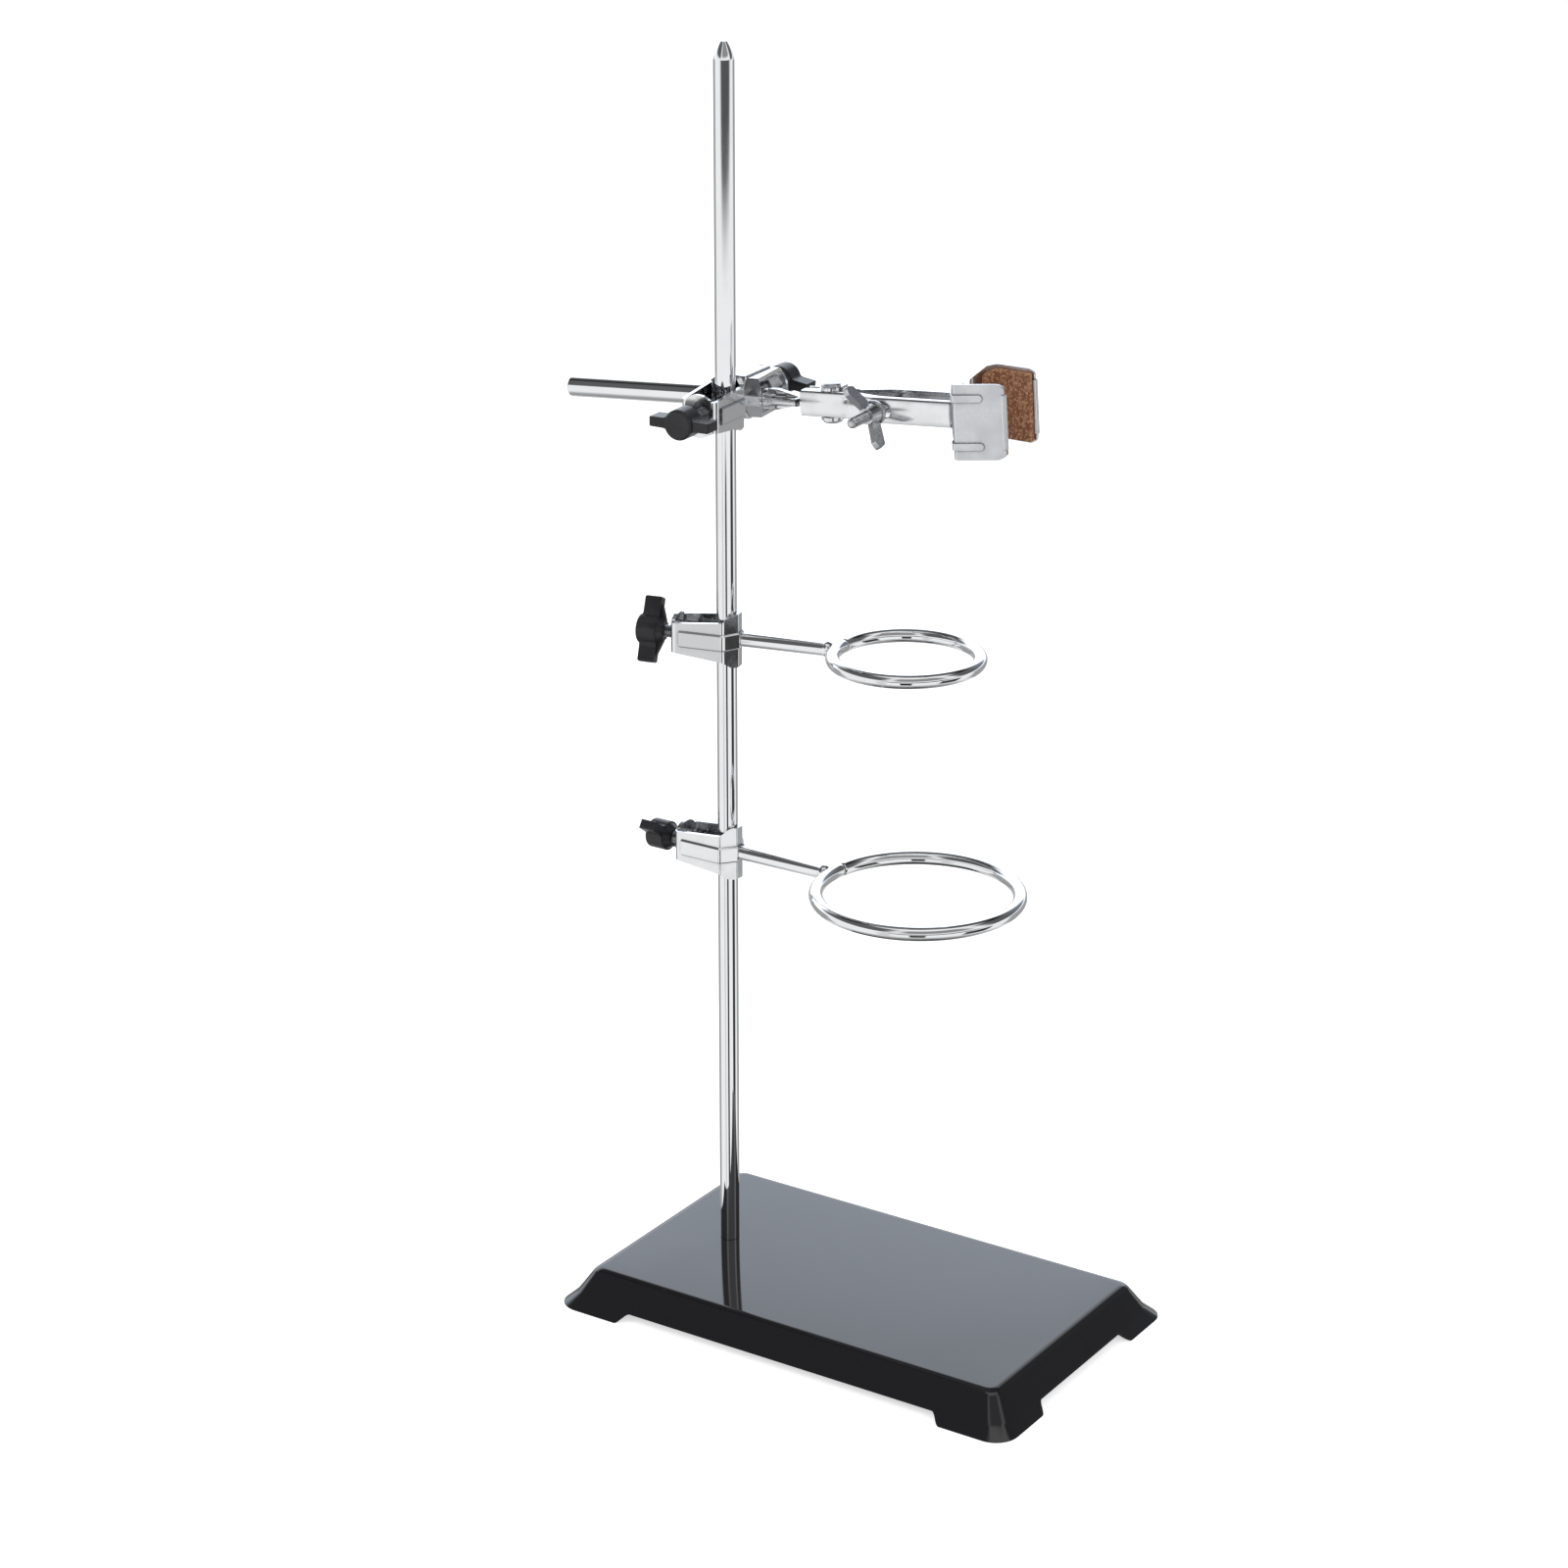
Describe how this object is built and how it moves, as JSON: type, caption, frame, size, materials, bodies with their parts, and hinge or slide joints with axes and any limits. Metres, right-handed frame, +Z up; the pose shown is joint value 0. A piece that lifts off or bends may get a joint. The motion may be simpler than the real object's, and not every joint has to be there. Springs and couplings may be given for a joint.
{
  "type": "retort stand",
  "caption": "Laboratory stand: flat base, upright rod, two sliding support rings on screw clamps, and a swivelling boss that holds a two-finger jaw clamp with cork liners.",
  "frame": {"origin": "centre of the base plate's footprint, on the bench plane that its four feet stand on", "axes": "+X along the long side of the base towards the rings and jaws, +Y away from the user, +Z up along the column"},
  "size_m": [0.2459, 0.13, 0.503],
  "materials": {
    "black_enamel": "gloss black enamel on pressed steel",
    "chromed_rod": "bright chrome plate on steel rod",
    "plated_sheet": "bright nickel plate on pressed steel sheet",
    "zinc_fastener": "zinc plated steel",
    "black_plastic": "moulded, fine satin",
    "cork": "granular pressed cork, matt"
  },
  "bodies": {
    "base": {"base_plate": "black_enamel", "column_washer": "zinc_fastener", "column_nut": "zinc_fastener"},
    "column": {"column_rod": "chromed_rod"},
    "small_ring": {"small_ring_strap": "plated_sheet", "small_ring_nut": "zinc_fastener", "small_ring_arm": "chromed_rod", "small_ring_hoop": "chromed_rod"},
    "small_ring_screw": {"small_ring_screw": "zinc_fastener"},
    "small_ring_knob": {"small_ring_knob": "black_plastic"},
    "large_ring": {"large_ring_strap": "plated_sheet", "large_ring_nut": "zinc_fastener", "large_ring_arm": "chromed_rod", "large_ring_hoop": "chromed_rod"},
    "large_ring_screw": {"large_ring_screw": "zinc_fastener"},
    "large_ring_knob": {"large_ring_knob": "black_plastic"},
    "boss": {"boss_front_strap": "plated_sheet", "boss_front_nut": "zinc_fastener", "boss_rivet": "zinc_fastener"},
    "boss_front_screw": {"boss_front_screw": "zinc_fastener"},
    "boss_front_knob": {"boss_front_knob": "black_plastic"},
    "boss_swivel_half": {"boss_rear_strap": "plated_sheet", "boss_rear_nut": "zinc_fastener"},
    "boss_rear_screw": {"boss_rear_screw": "zinc_fastener"},
    "boss_rear_knob": {"boss_rear_knob": "black_plastic"},
    "clamp_bar": {"clamp_rod": "chromed_rod"},
    "gripper": {"gripper_neck": "plated_sheet", "back_finger": "plated_sheet", "back_jaw": "plated_sheet", "back_cork": "cork", "pivot_rivet": "zinc_fastener", "clamp_bolt": "zinc_fastener"},
    "front_gripper": {"front_finger": "plated_sheet", "front_jaw": "plated_sheet", "front_cork": "cork"},
    "washer": {"bolt_washer": "zinc_fastener"},
    "wing_nut": {"wing_nut": "zinc_fastener"}
  },
  "joints": [
    {"name": "column_turn", "type": "hinge", "parent": "base", "child": "column", "pos_m": [-0.063, 0, 0.015], "axis": [0, 0, 1], "range_deg": [-180, 180]},
    {"name": "small_ring_slide", "type": "slide", "parent": "column", "child": "small_ring", "axis": [0, 0, 1], "range_m": [-0.055, 0.055]},
    {"name": "small_ring_screw_travel", "type": "slide", "parent": "small_ring", "child": "small_ring_screw", "axis": [-0.9744, -0.225, 0], "range_m": [0, 0.0024]},
    {"name": "small_ring_knob_turn", "type": "hinge", "parent": "small_ring_screw", "child": "small_ring_knob", "pos_m": [-0.09223, -0.00675, 0.273], "axis": [-0.9744, -0.225, 0], "range_deg": [0, 1081]},
    {"name": "large_ring_slide", "type": "slide", "parent": "column", "child": "large_ring", "axis": [0, 0, 1], "range_m": [-0.15, 0.055]},
    {"name": "large_ring_screw_travel", "type": "slide", "parent": "large_ring", "child": "large_ring_screw", "axis": [-1, 0, 0], "range_m": [0, 0.0024]},
    {"name": "large_ring_knob_turn", "type": "hinge", "parent": "large_ring_screw", "child": "large_ring_knob", "pos_m": [-0.093, 0, 0.185], "axis": [-1, 0, 0], "range_deg": [0, 1081]},
    {"name": "boss_slide", "type": "slide", "parent": "column", "child": "boss", "axis": [0, 0, 1], "range_m": [-0.06, 0.125]},
    {"name": "boss_front_screw_travel", "type": "slide", "parent": "boss", "child": "boss_front_screw", "axis": [0.0698, -0.9976, 0], "range_m": [0, 0.0024]},
    {"name": "boss_front_knob_turn", "type": "hinge", "parent": "boss_front_screw", "child": "boss_front_knob", "pos_m": [-0.06091, -0.02993, 0.366], "axis": [0.0698, -0.9976, 0], "range_deg": [0, 1081]},
    {"name": "boss_swivel", "type": "hinge", "parent": "boss", "child": "boss_swivel_half", "pos_m": [-0.06345, 0.00648, 0.366], "axis": [0.0698, -0.9976, 0], "range_deg": [-35, 60]},
    {"name": "boss_rear_screw_travel", "type": "slide", "parent": "boss_swivel_half", "child": "boss_rear_screw", "axis": [-0.0698, 0.9976, 0], "range_m": [0, 0.0024]},
    {"name": "boss_rear_knob_turn", "type": "hinge", "parent": "boss_rear_screw", "child": "boss_rear_knob", "pos_m": [-0.066, 0.0429, 0.366], "axis": [-0.0698, 0.9976, 0], "range_deg": [0, 1081]},
    {"name": "clamp_bar_slide", "type": "slide", "parent": "boss_swivel_half", "child": "clamp_bar", "axis": [0.9951, 0.0696, 0.0698], "range_m": [0, 0.06]},
    {"name": "gripper_roll", "type": "hinge", "parent": "clamp_bar", "child": "gripper", "pos_m": [-0.04898, 0.01401, 0.36705], "axis": [0.9951, 0.0696, 0.0698], "range_deg": [-90, 90]},
    {"name": "front_finger_swing", "type": "hinge", "parent": "gripper", "child": "front_gripper", "pos_m": [-0.0251, 0.01568, 0.36872], "axis": [0.0696, 0.0049, -0.9976], "range_deg": [-11.1, 12.1]},
    {"name": "washer_travel", "type": "slide", "parent": "gripper", "child": "washer", "axis": [0.0698, -0.9976, 0], "range_m": [-0.0047, 0.00513]},
    {"name": "wing_nut_turn", "type": "hinge", "parent": "washer", "child": "wing_nut", "pos_m": [-0.00017, 0.00239, 0.37039], "axis": [0.0698, -0.9976, 0], "range_deg": [-2421, 2640]}
  ],
  "couplings": [
    {"joint": "small_ring_knob_turn", "follows": "small_ring_screw_travel", "rad_per_m": 7854},
    {"joint": "large_ring_knob_turn", "follows": "large_ring_screw_travel", "rad_per_m": 7854},
    {"joint": "boss_front_knob_turn", "follows": "boss_front_screw_travel", "rad_per_m": 7854},
    {"joint": "boss_rear_knob_turn", "follows": "boss_rear_screw_travel", "rad_per_m": 7854},
    {"joint": "front_finger_swing", "follows": "washer_travel", "rad_per_m": 40.816},
    {"joint": "wing_nut_turn", "follows": "washer_travel", "rad_per_m": 8976}
  ]
}
